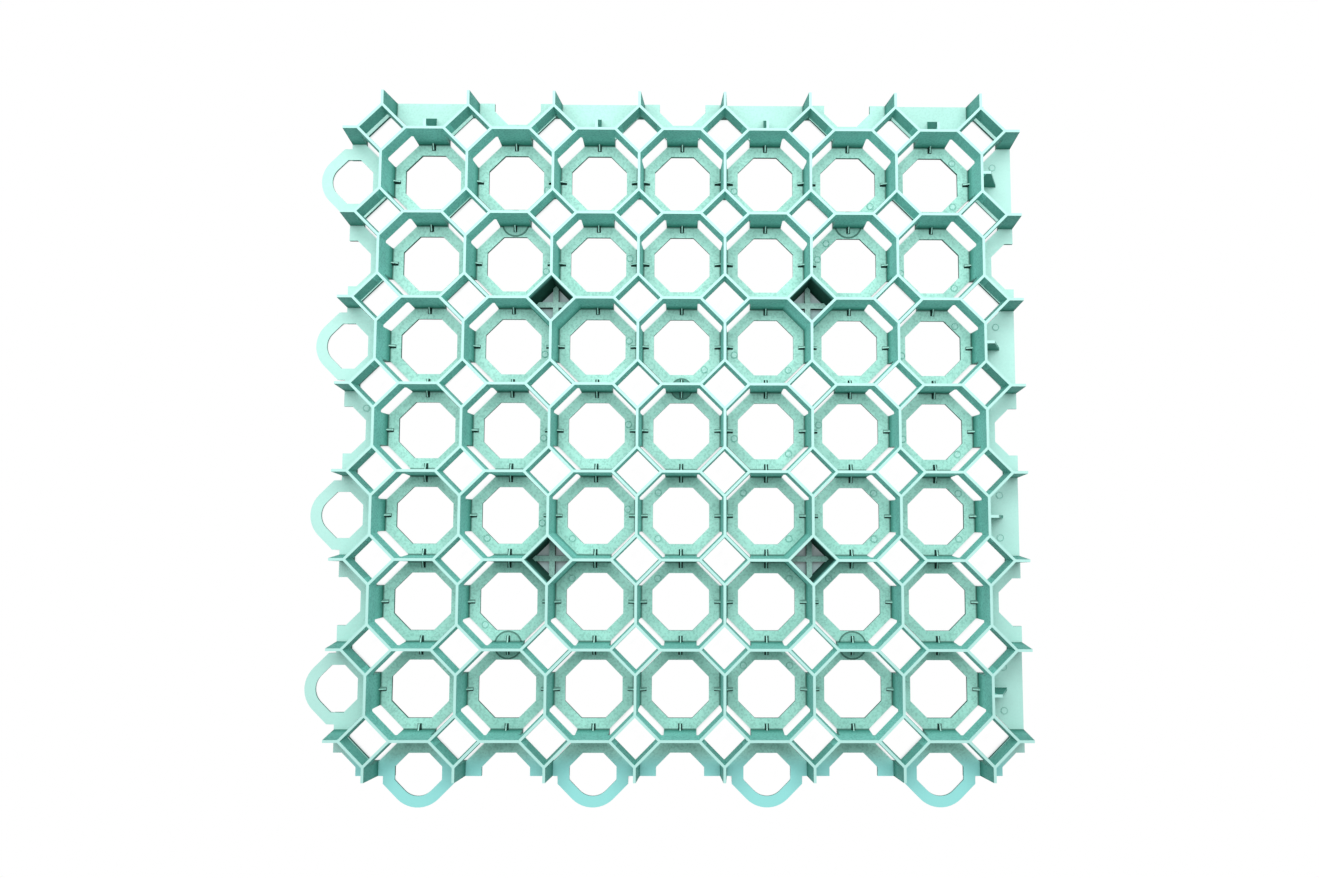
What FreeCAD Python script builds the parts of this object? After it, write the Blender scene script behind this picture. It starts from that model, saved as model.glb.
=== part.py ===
import FreeCAD, Part
import Sketcher
import math
import os

# Grass paver grid: one moulded sheet of octagonal cells between small square towers.
# Frame: +Z up, z = 0 on the underside, origin under the middle of the bounding box, millimetres.
# The +X and +Y sides carry ledges with catches, the -X and -Y sides carry eyelets.
# Each form is a body of its own, drawn once about its own centre; the lattice at the end sets
# out the copies and joins them into the one moulded piece.

os.makedirs("parts", exist_ok=True)
doc = FreeCAD.newDocument("PaverGrid")

SIZES = [
    ("cell_pitch", "80", "distance between neighbouring cell centres"),
    ("cell_count", "7", "octagonal cells along each side"),
    ("overall_height", "38", "underside to wall tops"),
    ("sheet_thickness", "3", "sheet at the foot of the walls"),
    ("lap_thickness", "1.5", "ledges and eyelet rings, one over the other when joined"),
    ("joint_gap", "1.2", "sheet edge short of the joint line"),
    ("wall_top", "2.4", "wall thickness at the top"),
    ("wall_foot", "6.6", "wall thickness at the underside"),
    ("tower_reach", "22.4", "tower centre to its corner, on the wall's middle line"),
    ("fin_setback", "4", "fin end at the top, short of the joint line"),
    ("hole_reach", "26.5", "cell centre to the side of its hole"),
    ("notch_reach", "22.2", "joint cell centre to the side of its notch"),
    ("window_reach", "29.1", "tower centre to the corner of the opening under it"),
    ("window_cut", "25.1", "tower centre to the plate ends beside the window"),
    ("window_top", "21.6", "height of the windows' upper edge"),
    ("ring_half_width", "32.4", "eyelet centre to the outer side of its ring"),
    ("ring_tip", "27", "eyelet centre to the tip of its ring"),
    ("eye_half_width", "21.6", "eyelet centre to the side of its hole"),
    ("eye_tip", "16.8", "eyelet centre to the tip of its hole"),
    ("eye_back", "22", "eyelet centre to the straight back of its hole"),
    ("eye_back_half", "9.4", "half the length of that back"),
    ("cross_width", "5.2", "bars of the cross in a closed tower"),
    ("cross_height", "6", "underside to the top of the cross"),
    ("catch_thickness", "2.6", "catch plate standing on a ledge"),
    ("catch_top", "8.3", "wall middle to the catch's end at the top"),
    ("catch_foot", "24.4", "wall middle to the catch's foot"),
    ("overrun", "1", "cutting tools beyond the faces they pass"),
]
DERIVED = [
    ("half_pitch", "=cell_pitch / 2"),
    ("edge_reach", "=half_pitch - joint_gap"),
    ("frame_shift", "=(half_pitch + ring_tip - edge_reach) / 2"),
    ("sheet_half", "=cell_pitch * cell_count / 2 + edge_reach"),
    ("fin_top_half", "=cell_pitch * (cell_count + 1) / 2 - fin_setback"),
    ("wall_root", "=lap_thickness / 2"),
    ("draft", "=(wall_foot - wall_top) / 2 / overall_height"),
    ("top_half", "=wall_top / 2"),
    ("foot_half", "=wall_foot / 2"),
    ("root_half", "=foot_half - draft * wall_root"),
    ("tower_side", "=tower_reach * sqrt(2) / 2"),
    ("tower_root", "=tower_side + root_half"),
    ("tower_top", "=tower_side + top_half"),
    ("under", "=-overrun"),
    ("over", "=overall_height + overrun"),
    ("bore_under", "=tower_side - foot_half - draft * overrun"),
    ("bore_over", "=tower_side - top_half + draft * overrun"),
    ("through_sheet", "=sheet_thickness + 2 * overrun"),
    ("ledge_cut", "=sheet_thickness - lap_thickness + overrun"),
    ("ledge_back", "=half_pitch"),
    ("lap_underside", "=sheet_thickness - lap_thickness"),
    ("hole_corner", "=hole_reach * (sqrt(2) - 1)"),
    ("notch_corner", "=notch_reach * (sqrt(2) - 1)"),
    ("window_corner", "=window_reach - window_cut"),
    ("window_depth", "=window_top + overrun"),
    ("ring_straight", "=ring_tip * sqrt(2) - ring_half_width"),
    ("ring_touch", "=ring_tip * sqrt(2) / 2"),
    ("ring_back", "=joint_gap + lap_thickness"),
    ("eye_straight", "=eye_tip * sqrt(2) - eye_half_width"),
    ("eye_touch", "=eye_tip * sqrt(2) / 2"),
    ("eye_shoulder", "=eye_back + eye_back_half - eye_half_width"),
    ("cross_half", "=cross_width / 2"),
    ("cross_reach", "=tower_reach - sqrt(2) * top_half"),
    ("catch_back", "=-catch_thickness / 2"),
]

sheet = doc.addObject("Spreadsheet::Sheet", "Sizes")
for row, (name, value, note) in enumerate(SIZES, start=1):
    sheet.set("A%d" % row, name)
    sheet.set("B%d" % row, value)
    sheet.set("C%d" % row, note)
    sheet.setAlias("B%d" % row, name)
for row, (name, formula) in enumerate(DERIVED, start=len(SIZES) + 2):
    sheet.set("A%d" % row, name)
    sheet.set("B%d" % row, formula)
    sheet.setAlias("B%d" % row, name)
doc.recompute()


def size(name):
    return float(sheet.get(name))


def unit(name):
    return doc.addObject("PartDesign::Body", name)


def origin_plane(body, role):
    for part in body.Origin.OriginFeatures:
        if part.Role == role:
            return part
    raise ValueError("no origin plane " + role)


def attach(body, thing, role, lift=None):
    """Lay a sketch on one of its body's own planes, moved off it by a named distance."""
    thing.AttachmentSupport = [(origin_plane(body, role), "")]
    thing.MapMode = "FlatFace"
    if lift:
        thing.setExpression(".AttachmentOffset.Base.z", "Sizes." + lift)


def signed(term):
    """Value, sign and name of a coordinate such as '+cross_half', '-cross_half' or '0'."""
    if term == "0":
        return 0.0, 0, ""
    sign = -1 if term[0] == "-" else 1
    return sign * size(term[1:]), sign, term[1:]


def pin(sketch, line, end, kind, term):
    """Hold one end of a line at a named distance from the sketch origin."""
    value, sign, name = signed(term)
    if sign == 0:
        axis = -2 if kind == "DistanceX" else -1
        sketch.addConstraint(Sketcher.Constraint("PointOnObject", line, end, axis))
        return
    if sign > 0:
        rule = Sketcher.Constraint(kind, -1, 1, line, end, value)
    else:
        rule = Sketcher.Constraint(kind, line, end, -1, 1, -value)
    index = sketch.addConstraint(rule)
    sketch.setExpression("Constraints[%d]" % index, "Sizes." + name)


def polygon(body, role, corners, lift=None):
    """Closed polygon; each corner is a pair of named distances from the sketch origin."""
    sketch = body.newObject("Sketcher::SketchObject", body.Name + "Outline")
    attach(body, sketch, role, lift)
    points = [FreeCAD.Vector(signed(a)[0], signed(b)[0], 0) for a, b in corners]
    count = len(points)
    for index in range(count):
        sketch.addGeometry(Part.LineSegment(points[index], points[(index + 1) % count]))
    for index in range(count):
        sketch.addConstraint(Sketcher.Constraint("Coincident", index, 2, (index + 1) % count, 1))
        pin(sketch, index, 1, "DistanceX", corners[index][0])
        pin(sketch, index, 1, "DistanceY", corners[index][1])
    return sketch


def tipped(body, half, tip, straight, touch, back, lift):
    """Eyelet outline pointing to -Y: straight sides, slopes at 45 degrees, a round tip.

    back lists the corners behind the straight sides, from left to right."""
    sketch = body.newObject("Sketcher::SketchObject", body.Name + "Outline")
    attach(body, sketch, "XY_Plane", lift)
    corners = [("-" + touch, "-" + touch), ("-" + half, "-" + straight)]
    corners += back
    corners += [("+" + half, "-" + straight), ("+" + touch, "-" + touch)]
    points = [FreeCAD.Vector(signed(a)[0], signed(b)[0], 0) for a, b in corners]
    last = len(points) - 1
    for index in range(last):
        sketch.addGeometry(Part.LineSegment(points[index], points[index + 1]))
    centre = FreeCAD.Vector(0, 0, 0)
    circle = Part.Circle(centre, FreeCAD.Vector(0, 0, 1), size(tip))
    sketch.addGeometry(Part.ArcOfCircle(circle, math.radians(225), math.radians(315)))
    for index in range(last - 1):
        sketch.addConstraint(Sketcher.Constraint("Coincident", index, 2, index + 1, 1))
    for index in range(1, last):
        pin(sketch, index, 1, "DistanceX", corners[index][0])
        pin(sketch, index, 1, "DistanceY", corners[index][1])
    sketch.addConstraint(Sketcher.Constraint("Coincident", last, 3, -1, 1))
    sketch.addConstraint(Sketcher.Constraint("Tangent", last, 1, 0, 1))
    sketch.addConstraint(Sketcher.Constraint("Tangent", last, 2, last - 1, 2))
    index = sketch.addConstraint(Sketcher.Constraint("Radius", last, size(tip)))
    sketch.setExpression("Constraints[%d]" % index, "Sizes." + tip)
    return sketch


def pad(body, sketch, length):
    feature = body.newObject("PartDesign::Pad", body.Name + "Pad")
    feature.Profile = sketch
    feature.setExpression("Length", "Sizes." + length)
    body.Tip = feature
    return body


def wedge(name, low, high):
    """Drafted block about the Z axis; low and high are (height, half along X, half along Y)."""
    body = unit(name)
    block = body.newObject("PartDesign::AdditiveWedge", name + "Block")
    attach(body, block, "XZ_Plane")
    values = {"Ymin": low[0], "Ymax": high[0],
              "Xmax": low[1], "Zmax": low[2], "X2max": high[1], "Z2max": high[2]}
    mirrored = {"Xmin": low[1], "Zmin": low[2], "X2min": high[1], "Z2min": high[2]}
    for path, alias in values.items():
        block.setExpression(path, "Sizes." + alias)
    for path, alias in mirrored.items():
        block.setExpression(path, "-Sizes." + alias)
    body.Tip = block
    return body


def octagon(name, reach, corner, lift, length):
    """Eight-sided prism: sides at reach from its axis, corners at corner beside them."""
    body = unit(name)
    far, near = reach, corner
    corners = [("+" + far, "-" + near), ("+" + far, "+" + near), ("+" + near, "+" + far),
               ("-" + near, "+" + far), ("-" + far, "+" + near), ("-" + far, "-" + near),
               ("-" + near, "-" + far), ("+" + near, "-" + far)]
    return pad(body, polygon(body, "XY_Plane", corners, lift), length)


# The sheet and what is cut through it.
base = unit("Sheet")
base_corners = [("-sheet_half", "-sheet_half"), ("+sheet_half", "-sheet_half"),
                ("+sheet_half", "+sheet_half"), ("-sheet_half", "+sheet_half")]
pad(base, polygon(base, "XY_Plane", base_corners), "sheet_thickness")
hole = octagon("Hole", "hole_reach", "hole_corner", "under", "through_sheet")
notch = octagon("Notch", "notch_reach", "notch_corner", "under", "through_sheet")
window = octagon("Window", "window_cut", "window_corner", "under", "window_depth")

# A ledge is thinned from above, from the wall's middle line outwards.
ledge = unit("Ledge")
ledge_corners = [("-half_pitch", "0"), ("+half_pitch", "0"),
                 ("+half_pitch", "+ledge_back"), ("-half_pitch", "+ledge_back")]
pad(ledge, polygon(ledge, "XY_Plane", ledge_corners, "lap_thickness"), "ledge_cut")

# Eyelet: a thin ring at the sheet's upper face, and the hole in it.
ring = unit("Ring")
ring_back = [("-ring_half_width", "+ring_back"), ("+ring_half_width", "+ring_back")]
pad(ring, tipped(ring, "ring_half_width", "ring_tip", "ring_straight", "ring_touch",
                 ring_back, "lap_underside"), "lap_thickness")
eye = unit("Eye")
eye_back = [("-eye_half_width", "+eye_shoulder"), ("-eye_back_half", "+eye_back"),
            ("+eye_back_half", "+eye_back"), ("+eye_half_width", "+eye_shoulder")]
pad(eye, tipped(eye, "eye_half_width", "eye_tip", "eye_straight", "eye_touch",
                eye_back, "under"), "through_sheet")

# Walls: bars along the lattice lines, whose ends are the fins, and towers at the crossings.
bar = wedge("Bar", ("wall_root", "sheet_half", "root_half"),
            ("overall_height", "fin_top_half", "top_half"))
tower = wedge("Tower", ("wall_root", "tower_root", "tower_root"),
              ("overall_height", "tower_top", "tower_top"))
bore = wedge("Bore", ("under", "bore_under", "bore_under"), ("over", "bore_over", "bore_over"))

# A closed tower has no window under it, and a cross of bars at the bottom.
cross = unit("Cross")
arm, side = "cross_reach", "cross_half"
cross_corners = [("+" + arm, "-" + side), ("+" + arm, "+" + side), ("+" + side, "+" + side),
                 ("+" + side, "+" + arm), ("-" + side, "+" + arm), ("-" + side, "+" + side),
                 ("-" + arm, "+" + side), ("-" + arm, "-" + side), ("-" + side, "-" + side),
                 ("-" + side, "-" + arm), ("+" + side, "-" + arm), ("+" + side, "-" + side)]
pad(cross, polygon(cross, "XY_Plane", cross_corners), "cross_height")

# A catch stands on each ledge, as tall as the wall behind it.
catch = unit("Catch")
catch_corners = [("0", "+wall_root"), ("+catch_foot", "+wall_root"),
                 ("+catch_top", "+overall_height"), ("0", "+overall_height")]
pad(catch, polygon(catch, "YZ_Plane", catch_corners, "catch_back"), "catch_thickness")

doc.recompute()

# Where the forms go: cell centres, lattice lines and the joint cells shared with neighbours.
pitch = size("cell_pitch")
count = int(size("cell_count"))
half_pitch = size("half_pitch")
middle = size("frame_shift")
low_line = middle - count * half_pitch
lines = [low_line + pitch * index for index in range(count + 1)]
cells = [line + half_pitch for line in lines[:-1]]
inner_lines = lines[1:-1]
high_line = lines[-1]
low_joint = low_line - half_pitch
high_joint = high_line + half_pitch
laps = cells[::2]
gaps = cells[1::2]
closed_lines = (lines[2], lines[-3])
TO_X_SIDE = -90
DIAMOND = 45


def grid(xs, ys):
    return [(x, y) for x in xs for y in ys]


def copies(body, spots, turn=0):
    """The body's shape at each spot, first turned about its own axis."""
    shapes = []
    for x, y in spots:
        shape = body.Shape.copy()
        shape.Placement = FreeCAD.Placement()
        shape.rotate(FreeCAD.Vector(0, 0, 0), FreeCAD.Vector(0, 0, 1), turn)
        shape.translate(FreeCAD.Vector(x, y, 0))
        shapes.append(shape)
    return shapes


closed_spots = grid(closed_lines, closed_lines)
open_spots = [spot for spot in grid(lines, lines) if spot not in closed_spots]
holes = copies(hole, grid(cells, cells) + grid([low_joint, high_joint], [high_joint]))
notches = copies(notch, grid([low_joint] + gaps + [high_joint], [low_joint]))
notches += copies(notch, grid(gaps, [high_joint]) + grid([low_joint, high_joint], gaps))
ledges = copies(ledge, grid(laps, [high_line]))
ledges += copies(ledge, grid([high_line], laps), TO_X_SIDE)
rings = copies(ring, grid(laps, [low_joint]))
rings += copies(ring, grid([low_joint], laps), TO_X_SIDE)
eyes = copies(eye, grid(laps, [low_joint]))
eyes += copies(eye, grid([low_joint], laps), TO_X_SIDE)
bars = copies(bar, grid([middle], lines))
bars += copies(bar, grid(lines, [middle]), TO_X_SIDE)
towers = copies(tower, grid(lines, lines), DIAMOND)
windows = copies(window, open_spots)
bores = copies(bore, grid(lines, lines), DIAMOND)
crosses = copies(cross, closed_spots)
catches = copies(catch, grid(laps, [high_line]))
catches += copies(catch, grid([high_line], laps), TO_X_SIDE)

floor = copies(base, [(middle, middle)])[0].cut(holes + notches + ledges)
grown = floor.fuse(rings + bars + towers)
opened = grown.cut(windows + eyes + bores)
whole = opened.fuse(crosses + catches).removeSplitter()

grid_piece = doc.addObject("Part::Feature", "PaverGrid")
grid_piece.Label = "paver_grid"
grid_piece.Shape = whole.Solids[0]

for item in doc.Objects:
    if "Invalid" in item.State or "Error" in item.State:
        raise RuntimeError("feature not built: " + item.Name)
    if item.isDerivedFrom("Part::Feature") and not item.isDerivedFrom("Part::Part2DObject"):
        if item.Shape.isNull() or not item.Shape.isValid():
            raise RuntimeError("shape not valid: " + item.Name)
if len(whole.Solids) != 1:
    raise RuntimeError("the grid is not one solid")
grid_piece.Shape.exportStep("parts/paver_grid.step")
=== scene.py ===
import math

import bpy
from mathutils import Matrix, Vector


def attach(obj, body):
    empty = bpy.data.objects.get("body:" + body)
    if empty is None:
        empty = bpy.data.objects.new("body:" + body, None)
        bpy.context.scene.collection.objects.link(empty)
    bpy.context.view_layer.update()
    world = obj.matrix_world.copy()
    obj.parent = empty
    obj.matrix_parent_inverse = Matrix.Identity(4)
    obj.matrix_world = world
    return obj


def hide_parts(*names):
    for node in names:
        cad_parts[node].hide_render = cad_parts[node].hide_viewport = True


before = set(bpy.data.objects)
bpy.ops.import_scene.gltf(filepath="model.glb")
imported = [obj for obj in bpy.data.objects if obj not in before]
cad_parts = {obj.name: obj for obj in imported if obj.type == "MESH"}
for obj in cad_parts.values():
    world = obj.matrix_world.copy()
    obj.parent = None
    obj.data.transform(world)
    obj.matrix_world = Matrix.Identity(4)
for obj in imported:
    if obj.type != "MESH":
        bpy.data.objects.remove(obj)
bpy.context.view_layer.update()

# Sizes of the grid in metres, as in the part's source. The lines of walls are centred on MIDDLE
# along X and Y, not on the origin, because the eyelets reach further out than the ledges.
PITCH = 0.080
CELLS = 7
SHEET_TOP = 0.003
LEDGE_TOP = 0.0015
WALL_TOP = 0.038
JOINT_GAP = 0.0012
RING_TIP = 0.027
RING_REACH = PITCH / 2 + RING_TIP
LEDGE_REACH = PITCH / 2 - JOINT_GAP
MIDDLE = (RING_REACH - LEDGE_REACH) / 2
FIRST_LINE = MIDDLE - CELLS * PITCH / 2
lines = [FIRST_LINE + PITCH * index for index in range(CELLS + 1)]
cells = [line + PITCH / 2 for line in lines[:-1]]

# Finish of the merged mesh.
MERGE = 0.000005
EDGE_ROUNDING = 0.0003
FLAT_ANGLE = math.radians(0.6)
SHARP_ANGLE = math.radians(25)
SMOOTH_ANGLE = math.radians(18)

# Ribs at the foot of the walls. RIB_EDGE is the share of the width that is left on top.
RIB_REACH = 0.0088
RIB_WIDTH = 0.0042
RIB_EDGE = 0.26
RIB_TOP = 0.0088
RIB_TIP = 0.0048
RIB_ROOT = 0.0027

# Round marks of the gates and of the ejector pins.
GATE_RADIUS = 0.0132
MIDDLE_GATE_RADIUS = 0.0104
GATE_SIDES = 40
GATE_GROOVE = 0.0016
PIN_RADIUS = 0.0034
PIN_SIDES = 16
PIN_GROOVE = 0.0010
MARK_RISE = 0.0004
MARK_SINK = 0.0004

# Pin marks measured from the middle of their cell.
PIN_CORNER = 0.0215
PIN_SIDE = 0.0300
PIN_HIGH = 0.0060
PIN_LOW = -0.0072

# Pin marks measured out from the first and the last line of walls, and up from a cell's middle.
WEST_PIN_OUT = 0.0176
WEST_PIN_UP = 0.0206
LEDGE_PIN_OUT = 0.0210

# Where a tint begins and ends, most of them painted shade and painted light: out from the middle
# of the lines, out from a tower's axis, out from the nearest line of walls, by height, and by the
# direction that a face looks in.
LAP = (0.2815, 0.3000)
SOUTH_RING = (0.2930, 0.3130)
OUTSIDE = (0.2836, 0.2836 + 0.0006)
TOWER_FROM_MIDDLE = PITCH * 1.5
TOWER_INSIDE = (0.0215, 0.0215 + 0.0006)
CONTACT = (0.0036, 0.0046)
CATCH = (0.0365, 0.0365 + 0.0010)
RIM_HEIGHT = (SHEET_TOP - 0.0006, SHEET_TOP - 0.0003)
LEVEL_HEIGHT = (SHEET_TOP + 0.0002, SHEET_TOP + 0.0008)
FOOT_HEIGHT = (SHEET_TOP + 0.0008, SHEET_TOP + 0.0026)
DEPTH_HEIGHT = (SHEET_TOP, WALL_TOP * 0.48)
DARK_TOWER_HEIGHT = (WALL_TOP * 0.72, WALL_TOP - 0.0006)
TOP_EDGE_HEIGHT = (WALL_TOP - 0.0006, WALL_TOP - 0.0001)
WALL_TO_LEVEL = (0.3, 0.8)
SOUTH_TO_OTHER = (-0.9, -0.3)
OTHER_TO_NORTH = (0.2, 0.6)
NORTH_LAP_STRENGTH = 0.70
OTHER_DEPTH_STRENGTH = 0.84

# How strongly each tint shows at its place; most of them are painted shade and painted light.
STRENGTH = {
    "Clouding": 0.27, "Depth": 0.98, "Foot": 0.95, "Contact": 0.72, "Rim": 0.90, "Outside": 0.40,
    "Catch": 0.72, "Closed Tower": 0.96, "Speckle": 0.26, "Lap": 0.88, "South Ring": 0.95,
    "Top Edge": 0.85}

# Clouding and grain of the plastic, and its gloss.
CLOUD_SCALE = 22.0
CLOUD_DETAIL = 4.0
GRAIN_SCALE = 520.0
GRAIN_DETAIL = 2.0
NOISE_RANGE = (0.3, 0.7)
SPECK_RANGE = (0.42, 0.68)
ROUGHNESS = (0.42, 0.56)
WALL_ROUGHNESS = 0.18
TOWER_ROUGHNESS = 0.30
GRAIN_BUMP = 0.25
GRAIN_HEIGHT = 0.0002
PLASTIC_IOR = 1.5

LEVEL_MINT = (0.52, 0.95, 0.84, 1)
# Upright faces take a darker, greener colour than level faces: painted shade of walls that take
# less light.
SHADED_WALL_MINT = (0.29, 0.83, 0.74, 1)
# Dark green of the clouding and specks, and of the painted shade low on the walls and on the
# catches; the outer faces of the outer walls also darken toward it.
DEEP_GREEN = (0.02, 0.23, 0.175, 1)
# Darkest green of the painted shade at and beside the feet of the walls, on the cut rims, in the
# gate grooves and on the rib sides.
DARKEST_SHADE_GREEN = (0.006, 0.10, 0.07, 1)
# Near black of the painted shade on the rib sides.
RIB_SHADE_GREEN = (0.0, 0.025, 0.018, 1)
# Painted highlight along the top edges of the walls.
HIGHLIGHT_EDGE_MINT = (0.55, 0.94, 0.88, 1)
# Painted light: the thin ledges and eyelets round the grid are paler, as light shining through
# thin plastic; the pin marks use this colour too.
PALE_LAP = (0.57, 0.96, 0.88, 1)
# Painted shade: the eyelets south of the grid are darker and greener, as in the shade of the south
# wall.
SHADED_RING_MINT = (0.37, 0.93, 0.90, 1)
# Painted shade inside the closed towers, where little light gets in.
TOWER_SHADE_GREEN = (0.0, 0.085, 0.055, 1)

# Floor, sky and lamp.
FLOOR_SIZE = 40
FLOOR_DROP = 0.0003
FLOOR_BOUNCE = (0.25, 0.25, 0.25, 1)
FLOOR_SHADE = (0.40, 0.72, 0.72, 1)
WHITE = (1, 1, 1, 1)
CORNER_REACH = 0.04
CORNER_RANGE = (0.14, 0.48)
CORNER_GLOW = 0.08
SKY_LIGHT = 0.42


def deselect():
    bpy.ops.object.select_all(action="DESELECT")


def only(piece):
    deselect()
    piece.select_set(True)
    bpy.context.view_layer.objects.active = piece


def edit(piece):
    only(piece)
    bpy.ops.object.mode_set(mode="EDIT")


def leave_edit():
    bpy.ops.object.mode_set(mode="OBJECT")


def pick(piece, kind, test):
    """Selects the vertices or faces whose middle passes the test."""
    bpy.ops.mesh.select_mode(type=kind)
    bpy.ops.mesh.select_all(action="DESELECT")
    leave_edit()
    if kind == "VERT":
        for vertex in piece.data.vertices:
            vertex.select = test(vertex.co)
    else:
        for face in piece.data.polygons:
            face.select = test(face.center)
    bpy.ops.object.mode_set(mode="EDIT")


def give_second_material(piece, first, second, test):
    """Gives a piece its material, and a second one to the faces that pass the test."""
    piece.data.materials.append(first)
    piece.data.materials.append(second)
    edit(piece)
    pick(piece, "FACE", test)
    piece.active_material_index = 1
    bpy.ops.object.material_slot_assign()
    leave_edit()


def apply_place(piece):
    only(piece)
    bpy.ops.object.transform_apply(location=True, rotation=True, scale=True)


def copies(piece, places):
    """Joins copies of a piece, each turned about Z and moved, into one object."""
    deselect()
    for x, y, turn in places:
        twin = piece.copy()
        twin.data = piece.data.copy()
        bpy.context.scene.collection.objects.link(twin)
        twin.location = (x, y, 0)
        twin.rotation_euler = (0, 0, turn)
        twin.select_set(True)
    bpy.context.view_layer.objects.active = twin
    bpy.ops.object.transform_apply(location=True, rotation=True, scale=True)
    bpy.ops.object.join()
    name = piece.name
    bpy.data.objects.remove(piece)
    twin.name = name
    return twin


def node_in(tree, kind, **settings):
    made = tree.nodes.new(kind)
    for key, value in settings.items():
        setattr(made, key, value)
    return made


def put(tree, target, source):
    """Gives an input a value, or links it to another node's output."""
    if isinstance(source, bpy.types.NodeSocket):
        tree.links.new(source, target)
    else:
        target.default_value = source


def calculate(tree, operation, *values):
    made = node_in(tree, "ShaderNodeMath", operation=operation)
    for index, value in enumerate(values):
        put(tree, made.inputs[index], value)
    return made.outputs[0]


def ramp(tree, value, low, high, to_low=0.0, to_high=1.0):
    """Smooth step of a value between two limits."""
    made = node_in(tree, "ShaderNodeMapRange", interpolation_type="SMOOTHSTEP")
    for index, item in enumerate((value, low, high, to_low, to_high)):
        put(tree, made.inputs[index], item)
    return made.outputs[0]


def noise(tree, place, scale, detail):
    made = node_in(tree, "ShaderNodeTexNoise")
    tree.links.new(place, made.inputs["Vector"])
    tree.links.new(scale, made.inputs["Scale"])
    made.inputs["Detail"].default_value = detail
    return made.outputs["Fac"]


def mix(tree, factor, first, second):
    """Mixes two colours."""
    made = node_in(tree, "ShaderNodeMix", data_type="RGBA", blend_type="MIX")
    put(tree, made.inputs[0], factor)
    put(tree, made.inputs[6], first)
    put(tree, made.inputs[7], second)
    return made.outputs[2]


def mix_shaders(tree, factor, first, second):
    made = node_in(tree, "ShaderNodeMixShader")
    for index, source in enumerate((factor, first.outputs[0], second.outputs[0])):
        tree.links.new(source, made.inputs[index])
    return made


def group(name, inputs, outputs):
    """Empty node group with its inputs, their values, and its outputs."""
    tree = bpy.data.node_groups.new(name, "ShaderNodeTree")
    for title, kind, value in inputs:
        socket = tree.interface.new_socket(title, in_out="INPUT", socket_type=kind)
        if value is not None:
            socket.default_value = value
    for title in outputs:
        tree.interface.new_socket(title, in_out="OUTPUT", socket_type="NodeSocketFloat")
    start = tree.nodes.new("NodeGroupInput")
    end = tree.nodes.new("NodeGroupOutput")
    return tree, start.outputs, end.inputs


# Moulded surface: soft clouding of the melt, fine grain, and dark specks in the grain.
surface, given, gives = group(
    "moulded surface",
    [("Place", "NodeSocketVector", None),
     ("Cloud Scale", "NodeSocketFloat", CLOUD_SCALE),
     ("Grain Scale", "NodeSocketFloat", GRAIN_SCALE)],
    ["Clouding", "Grain", "Speckle"])
clouds = noise(surface, given["Place"], given["Cloud Scale"], CLOUD_DETAIL)
grain = noise(surface, given["Place"], given["Grain Scale"], GRAIN_DETAIL)
surface.links.new(clouds, gives["Clouding"])
surface.links.new(grain, gives["Grain"])
surface.links.new(ramp(surface, grain, *SPECK_RANGE), gives["Speckle"])

# Places on the moulding for the tints, most of them painted shade and painted light: walls and
# their feet, rims of the holes, top edges, the ledges and eyelets round the grid, the outer side
# of the outer walls, catches, closed towers, and faces that look north.
masks, given, gives = group(
    "places on the moulding",
    [("Place", "NodeSocketVector", None), ("Facing", "NodeSocketVector", None)],
    ["Wall", "Depth", "Foot", "Rim", "Top Edge", "Contact", "Lap", "South Ring", "Outside",
     "Catch", "Closed Tower", "North Side"])
where = node_in(masks, "ShaderNodeSeparateXYZ")
masks.links.new(given["Place"], where.inputs[0])
across, along, height = where.outputs
facing = node_in(masks, "ShaderNodeSeparateXYZ")
masks.links.new(given["Facing"], facing.inputs[0])
facing_north, facing_up = facing.outputs[1], facing.outputs[2]

wall = ramp(masks, calculate(masks, "ABSOLUTE", facing_up), *WALL_TO_LEVEL, 1.0, 0.0)
# Painted shade low on the walls, fading out by half their height, strongest on faces that look
# south, away from the lamp.
depth = ramp(masks, height, *DEPTH_HEIGHT, 1.0, 0.0)
turned = ramp(masks, facing_north, *SOUTH_TO_OTHER, 1.0, OTHER_DEPTH_STRENGTH)
depth = calculate(masks, "MULTIPLY", depth, turned)
# Painted shade: a dark band at the foot of the walls.
foot = ramp(masks, height, *FOOT_HEIGHT, 1.0, 0.0)
# Painted shade on the upright cut rims of the holes and of the sheet.
rim = ramp(masks, height, *RIM_HEIGHT, 1.0, 0.0)

level = calculate(masks, "SUBTRACT", 1.0, wall)
low_part = ramp(masks, height, *LEVEL_HEIGHT, 1.0, 0.0)
level_part = calculate(masks, "MULTIPLY", level, low_part)
from_middle = [calculate(masks, "SUBTRACT", value, MIDDLE) for value in (across, along)]
spans = [calculate(masks, "ABSOLUTE", value) for value in from_middle]
# Painted light on the thin ledges and eyelets, weaker on the northern ledge.
north_lap = ramp(masks, from_middle[1], *LAP, 0.0, NORTH_LAP_STRENGTH)
lap = calculate(masks, "MAXIMUM", ramp(masks, spans[0], *LAP), north_lap)
# Painted shade on the eyelets south of the grid.
southward = calculate(masks, "MULTIPLY", from_middle[1], -1.0)
ring = ramp(masks, southward, *SOUTH_RING)

from_line = [calculate(masks, "SUBTRACT", value, FIRST_LINE) for value in (across, along)]
from_line = [calculate(masks, "PINGPONG", value, PITCH / 2) for value in from_line]
# Painted shadow on the level faces right beside the feet of the walls.
contact = ramp(masks, calculate(masks, "MINIMUM", *from_line), *CONTACT, 1.0, 0.0)
outside = ramp(masks, calculate(masks, "MAXIMUM", *spans), *OUTSIDE)
outside = calculate(masks, "MULTIPLY", outside, wall)
# Painted shade on the sides of the catches.
catch = ramp(masks, calculate(masks, "MAXIMUM", *from_line), *CATCH)

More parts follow.
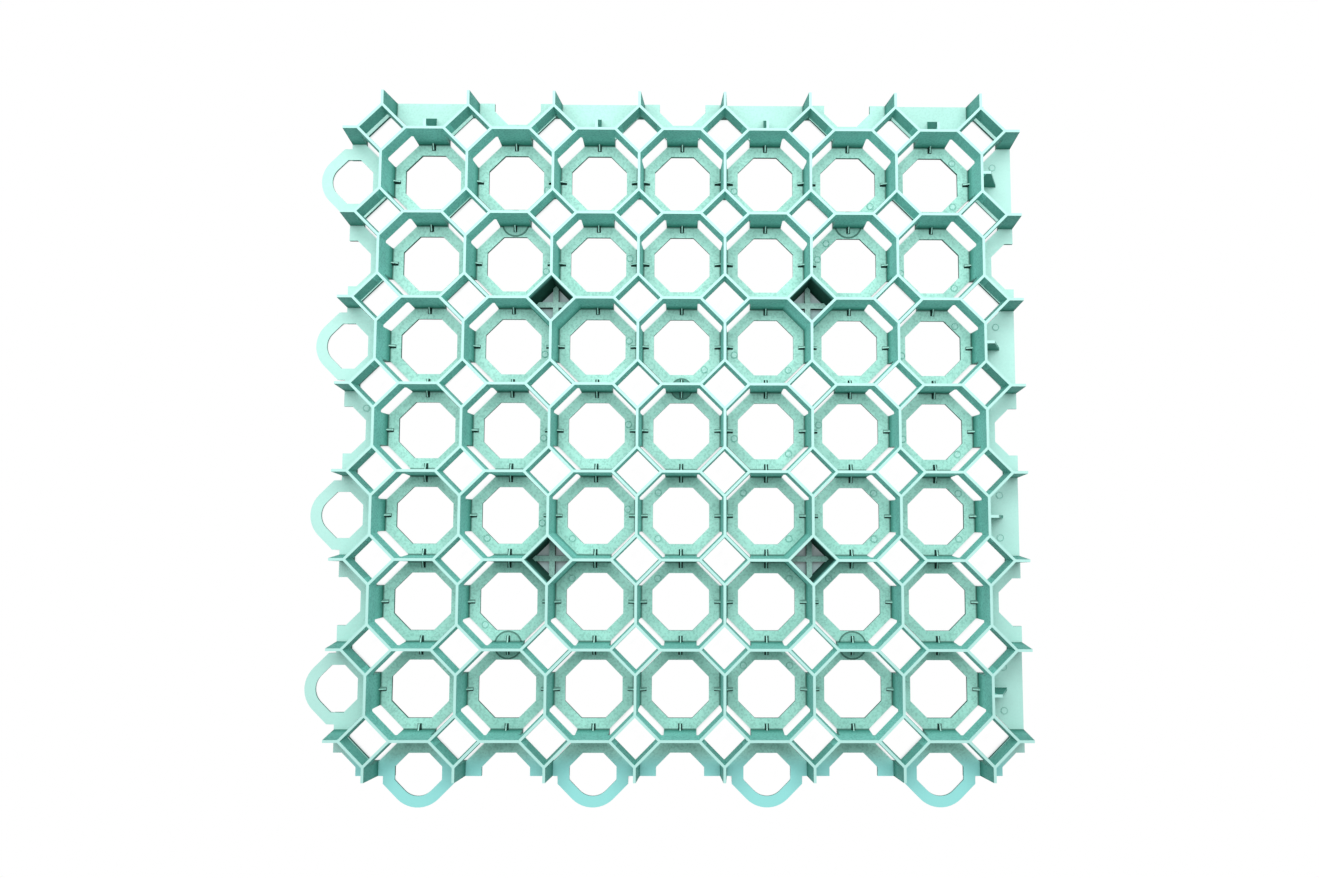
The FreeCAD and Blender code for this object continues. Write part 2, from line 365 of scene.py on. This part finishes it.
# Painted shade on the inner walls of the closed towers, below their top.
from_tower = [calculate(masks, "SUBTRACT", value, TOWER_FROM_MIDDLE) for value in spans]
from_tower = [calculate(masks, "ABSOLUTE", value) for value in from_tower]
inside = ramp(masks, calculate(masks, "ADD", *from_tower), *TOWER_INSIDE, 1.0, 0.0)
inside = calculate(masks, "MULTIPLY", inside, wall)
below_top = ramp(masks, height, *DARK_TOWER_HEIGHT, 1.0, 0.0)

for title, value in {
        "Wall": wall,
        "Depth": calculate(masks, "MULTIPLY", depth, wall),
        "Foot": calculate(masks, "MULTIPLY", foot, wall),
        "Rim": calculate(masks, "MULTIPLY", rim, wall),
        "Top Edge": ramp(masks, height, *TOP_EDGE_HEIGHT),
        "Contact": calculate(masks, "MULTIPLY", contact, level_part),
        "Lap": calculate(masks, "MULTIPLY", lap, level_part),
        "South Ring": calculate(masks, "MULTIPLY", ring, level_part),
        "Outside": outside,
        "Catch": calculate(masks, "MULTIPLY", catch, outside),
        "Closed Tower": calculate(masks, "MULTIPLY", inside, below_top),
        "North Side": ramp(masks, facing_north, *OTHER_TO_NORTH)}.items():
    masks.links.new(value, gives[title])


def plastic(name, level=LEVEL_MINT, wall=SHADED_WALL_MINT, deep=DEEP_GREEN, darkness=0.0, north=0.0):
    """Mint plastic: a level colour, a darker wall colour as painted shade, darkened by the deep
    one.
    """
    made = bpy.data.materials.new(name)
    made.use_nodes = True
    tree = made.node_tree
    shader = tree.nodes["Principled BSDF"]
    place = node_in(tree, "ShaderNodeTexCoord")
    skin = node_in(tree, "ShaderNodeGroup", node_tree=surface)
    tree.links.new(place.outputs["Object"], skin.inputs["Place"])
    skin.inputs["Cloud Scale"].default_value = CLOUD_SCALE
    skin.inputs["Grain Scale"].default_value = GRAIN_SCALE
    spot = node_in(tree, "ShaderNodeGroup", node_tree=masks)
    tree.links.new(place.outputs["Object"], spot.inputs["Place"])
    tree.links.new(place.outputs["Normal"], spot.inputs["Facing"])

    def share(mask, amount):
        return calculate(tree, "MULTIPLY", spot.outputs[mask], amount)

    def tinted(colour, tints):
        for mask, tint in tints:
            colour = mix(tree, share(mask, STRENGTH[mask]), colour, tint)
        return colour

    # Painted shade: upright faces go over to the darker wall colour.
    colour = mix(tree, spot.outputs["Wall"], level, wall)
    cloud = ramp(tree, skin.outputs["Clouding"], *NOISE_RANGE, 0.0, STRENGTH["Clouding"])
    colour = mix(tree, cloud, colour, deep)
    # Painted shade low on the walls, at and beside their feet, on the cut rims, on the catches and
    # inside the closed towers; the outer faces of the outer walls darker.
    colour = tinted(colour, (
        ("Depth", deep), ("Foot", DARKEST_SHADE_GREEN), ("Contact", DARKEST_SHADE_GREEN),
        ("Rim", DARKEST_SHADE_GREEN), ("Outside", deep), ("Catch", deep),
        ("Closed Tower", TOWER_SHADE_GREEN)))
    specks = calculate(tree, "MULTIPLY", skin.outputs["Speckle"], STRENGTH["Speckle"])
    colour = mix(tree, specks, colour, deep)
    # Painted light on the thin ledges and eyelets, painted shade on the south eyelets, and a
    # painted highlight on the top edges of the walls.
    colour = tinted(colour, (
        ("Lap", PALE_LAP), ("South Ring", SHADED_RING_MINT), ("Top Edge", HIGHLIGHT_EDGE_MINT)))
    colour = mix(tree, darkness, colour, deep)
    # Painted light: faces that look north mix back toward the level colour, by the north share.
    colour = mix(tree, share("North Side", north), colour, level)
    tree.links.new(colour, shader.inputs["Base Color"])

    rough = ramp(tree, skin.outputs["Grain"], *NOISE_RANGE, *ROUGHNESS)
    rough = calculate(tree, "ADD", rough, share("Wall", WALL_ROUGHNESS))
    rough = calculate(tree, "ADD", rough, share("Closed Tower", TOWER_ROUGHNESS))
    tree.links.new(rough, shader.inputs["Roughness"])
    bump = node_in(tree, "ShaderNodeBump")
    bump.inputs["Strength"].default_value = GRAIN_BUMP
    bump.inputs["Distance"].default_value = GRAIN_HEIGHT
    tree.links.new(skin.outputs["Grain"], bump.inputs["Height"])
    tree.links.new(bump.outputs["Normal"], shader.inputs["Normal"])
    shader.inputs["IOR"].default_value = PLASTIC_IOR
    return made


moulded = plastic("mint moulded plastic")
# Rib sides painted near black as shade, and lighter where they face north, toward the lamp.
rib_shade = plastic("painted shade of the rib sides", wall=DARKEST_SHADE_GREEN, deep=RIB_SHADE_GREEN, darkness=1.0,
                    north=0.45)
marked = plastic("mint plastic at the gates", darkness=0.30)
middle_marked = plastic("mint plastic at the middle gate", darkness=0.84)
# Painted shade in the grooves round the gate marks.
groove_shade = plastic("painted shade of the gate grooves", deep=DARKEST_SHADE_GREEN, darkness=0.74)
pin_mint = plastic("mint plastic of the pin marks", level=PALE_LAP)
# Painted shade in the grooves round the pin marks.
pin_outline_shade = plastic("painted shade of the pin outlines", darkness=0.26)

# Moulded grid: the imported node, merged and given rounded edges.
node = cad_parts["paver_grid"]
grid = bpy.data.objects.new("moulded_grid", node.data.copy())
bpy.context.scene.collection.objects.link(grid)
edit(grid)
bpy.ops.mesh.select_all(action="SELECT")
bpy.ops.mesh.remove_doubles(threshold=MERGE)
bpy.ops.mesh.dissolve_limited(angle_limit=FLAT_ANGLE)
leave_edit()
rounding = grid.modifiers.new("Rounding", "BEVEL")
rounding.width = EDGE_ROUNDING
rounding.segments = 1
rounding.limit_method = "ANGLE"
rounding.angle_limit = SHARP_ANGLE
only(grid)
bpy.ops.object.modifier_apply(modifier=rounding.name)
bpy.ops.object.shade_smooth_by_angle(angle=SMOOTH_ANGLE)
grid.data.materials.clear()
grid.data.materials.append(moulded)
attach(grid, "root")
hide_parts("paver_grid")

# Small ribs at the foot of every wall, inside the cells: narrow on top, low at the tip.
deselect()
bpy.ops.mesh.primitive_cube_add(size=1, location=(0, RIB_REACH / 2, (RIB_ROOT + RIB_TOP) / 2))
rib = bpy.context.object
rib.name = "foot_ribs"
rib.scale = (RIB_WIDTH, RIB_REACH, RIB_TOP - RIB_ROOT)
apply_place(rib)
edit(rib)
pick(rib, "FACE", lambda middle: middle.z > RIB_TOP - MERGE)
bpy.ops.transform.resize(value=(RIB_EDGE, 1, 1))
pick(rib, "VERT", lambda point: point.y > RIB_REACH / 2 and point.z > RIB_ROOT + MERGE)
bpy.ops.transform.translate(value=(0, 0, RIB_TIP - RIB_TOP))
leave_edit()
give_second_material(rib, moulded, rib_shade,
                     lambda middle: abs(middle.x) > MERGE or middle.y > RIB_REACH - MERGE)
places = []
for cell in cells:
    for line in lines[:-1]:
        places += [(cell, line, 0), (line, cell, -math.pi / 2)]
    for line in lines[1:]:
        places += [(cell, line, math.pi), (line, cell, math.pi / 2)]
ribs = copies(rib, places)
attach(ribs, "root")


def disc(name, radius, groove, sides, top, fill, line, spots):
    """Round moulding marks: low discs with a groove round their edge."""
    deselect()
    bpy.ops.mesh.primitive_cylinder_add(vertices=sides, radius=radius, depth=top - MARK_RISE,
                                        location=(0, 0, (top + MARK_RISE) / 2))
    mark = bpy.context.object
    mark.name = name
    apply_place(mark)
    edit(mark)
    pick(mark, "FACE", lambda middle: middle.z > top - MERGE)
    bpy.ops.transform.translate(value=(0, 0, MARK_RISE))
    bpy.ops.mesh.inset(thickness=groove / 2)
    bpy.ops.transform.translate(value=(0, 0, -MARK_SINK))
    bpy.ops.mesh.inset(thickness=groove / 2)
    bpy.ops.transform.translate(value=(0, 0, MARK_SINK))
    leave_edit()
    give_second_material(
        mark, fill, line,
        lambda middle: middle.z > top - MERGE and middle.xy.length > radius - groove)
    marks = copies(mark, [(x, y, 0) for x, y in spots])
    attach(marks, "root")


disc("gate_discs", GATE_RADIUS, GATE_GROOVE, GATE_SIDES, SHEET_TOP, marked, groove_shade,
     [(x, y) for x in (cells[1], cells[-2]) for y in (lines[1], lines[-2])])
disc("middle_gate_disc", MIDDLE_GATE_RADIUS, GATE_GROOVE, GATE_SIDES, SHEET_TOP, middle_marked,
     groove_shade, [(cells[3], lines[4])])

# Pin marks: by column and row of the cell, and the side or corner of its rim.
rim_pins = (
    [(1, row, PIN_SIDE, PIN_LOW) for row in (2, 3, 4, 5, 6)]
    + [(2, row, PIN_SIDE, PIN_HIGH) for row in (2, 3, 4, 5)]
    + [(4, row, -PIN_SIDE, PIN_LOW) for row in (3, 4, 6)]
    + [(5, row, -PIN_SIDE, PIN_HIGH) for row in (3, 5)]
    + [(6, row, -PIN_SIDE, PIN_LOW) for row in (3, 4, 5)]
    + [(column, row, PIN_CORNER, -PIN_CORNER) for column, row in
       ((3, 4), (4, 2), (4, 3), (4, 4), (5, 2), (5, 6), (6, 2), (6, 3), (6, 5), (6, 6))]
    + [(column, row, -PIN_CORNER, -PIN_CORNER) for column, row in
       ((1, 1), (1, 2), (2, 2), (3, 2))]
    + [(column, row, -PIN_CORNER, PIN_CORNER) for column, row in
       ((2, 1), (3, 1), (3, 2), (4, 0), (4, 2), (5, 1), (5, 5))]
    + [(column, row, PIN_CORNER, PIN_CORNER) for column, row in
       ((4, 0), (4, 1), (5, 2), (6, 2), (6, 4), (6, 6))])
disc("pin_marks", PIN_RADIUS, PIN_GROOVE, PIN_SIDES, SHEET_TOP, pin_mint, pin_outline_shade,
     [(cells[column] + x, cells[row] + y) for column, row, x, y in rim_pins]
     + [(lines[0] - WEST_PIN_OUT, cells[3] + WEST_PIN_UP)])
disc("ledge_pin_marks", PIN_RADIUS, PIN_GROOVE, PIN_SIDES, LEDGE_TOP, pin_mint, pin_outline_shade,
     [(lines[-1] + LEDGE_PIN_OUT, cells[row] + y) for row, y in
      ((0, 0.020), (0, -0.020), (2, 0.020), (2, -0.020), (4, 0.021), (6, 0.018))])

# Floor: white to the camera and in reflections, except where the grid closes it in, where the glow
# fades by occlusion and its lit colour shows as a painted green-cyan shade; plain grey to the
# light, and clear from below.
deselect()
bpy.ops.mesh.primitive_plane_add(size=FLOOR_SIZE, location=(0, 0, -FLOOR_DROP))
floor = bpy.context.object
floor.name = "floor"
paper = bpy.data.materials.new("white studio floor")
paper.use_nodes = True
tree = paper.node_tree
tree.nodes.clear()
out = node_in(tree, "ShaderNodeOutputMaterial")
rays = node_in(tree, "ShaderNodeLightPath")
seen = calculate(tree, "MAXIMUM", rays.outputs["Is Camera Ray"], rays.outputs["Is Glossy Ray"])
seen = calculate(tree, "MAXIMUM", seen, rays.outputs["Is Transmission Ray"])
lit = node_in(tree, "ShaderNodeBsdfDiffuse")
tree.links.new(mix(tree, seen, FLOOR_BOUNCE, FLOOR_SHADE), lit.inputs["Color"])
glow = node_in(tree, "ShaderNodeEmission")
glow.inputs["Color"].default_value = WHITE
closed_in = node_in(tree, "ShaderNodeAmbientOcclusion")
closed_in.inputs["Distance"].default_value = CORNER_REACH
open_floor = ramp(tree, closed_in.outputs["AO"], *CORNER_RANGE, CORNER_GLOW, 1.0)
shown = mix_shaders(tree, calculate(tree, "MULTIPLY", seen, open_floor), lit, glow)
sides = node_in(tree, "ShaderNodeNewGeometry")
clear = node_in(tree, "ShaderNodeBsdfTransparent")
finished = mix_shaders(tree, sides.outputs["Backfacing"], shown, clear)
tree.links.new(finished.outputs[0], out.inputs["Surface"])
floor.data.materials.append(paper)

# Sky: white to the camera, weaker as light.
world = bpy.data.worlds.new("studio")
bpy.context.scene.world = world
world.use_nodes = True
sky = world.node_tree.nodes["Background"]
sky.inputs["Color"].default_value = WHITE
sky_rays = node_in(world.node_tree, "ShaderNodeLightPath")
sky_seen = ramp(world.node_tree, sky_rays.outputs["Is Camera Ray"], 0.0, 1.0, SKY_LIGHT, 1.0)
world.node_tree.links.new(sky_seen, sky.inputs["Strength"])


def softbox(name, place, aim, size, energy):
    lamp = bpy.data.lights.new(name, "AREA")
    lamp.shape = "RECTANGLE"
    lamp.size, lamp.size_y = size
    lamp.energy = energy
    lamp_object = bpy.data.objects.new(name, lamp)
    bpy.context.scene.collection.objects.link(lamp_object)
    lamp_object.location = place
    direction = Vector(aim) - Vector(place)
    lamp_object.rotation_euler = direction.to_track_quat("-Z", "Y").to_euler()
    lamp_object.visible_camera = False


softbox("overhead softbox", place=(0.0, 0.40, 1.06), aim=(0, 0.1, 0), size=(1.5, 0.7), energy=11.8)

camera = bpy.data.cameras.new("camera")
camera.sensor_width = 36
camera.lens = 26.025
camera.shift_x = -0.0305
camera.shift_y = 0.0055
camera.clip_start = 0.01
camera.clip_end = 50
camera_object = bpy.data.objects.new("camera", camera)
bpy.context.scene.collection.objects.link(camera_object)
camera_object.location = (0.02294, -0.0720, 0.90164)
camera_object.rotation_euler = [math.radians(angle) for angle in (4.5602, -0.5584, 0.1412)]
bpy.context.scene.camera = camera_object

bpy.context.scene.view_settings.view_transform = "Standard"
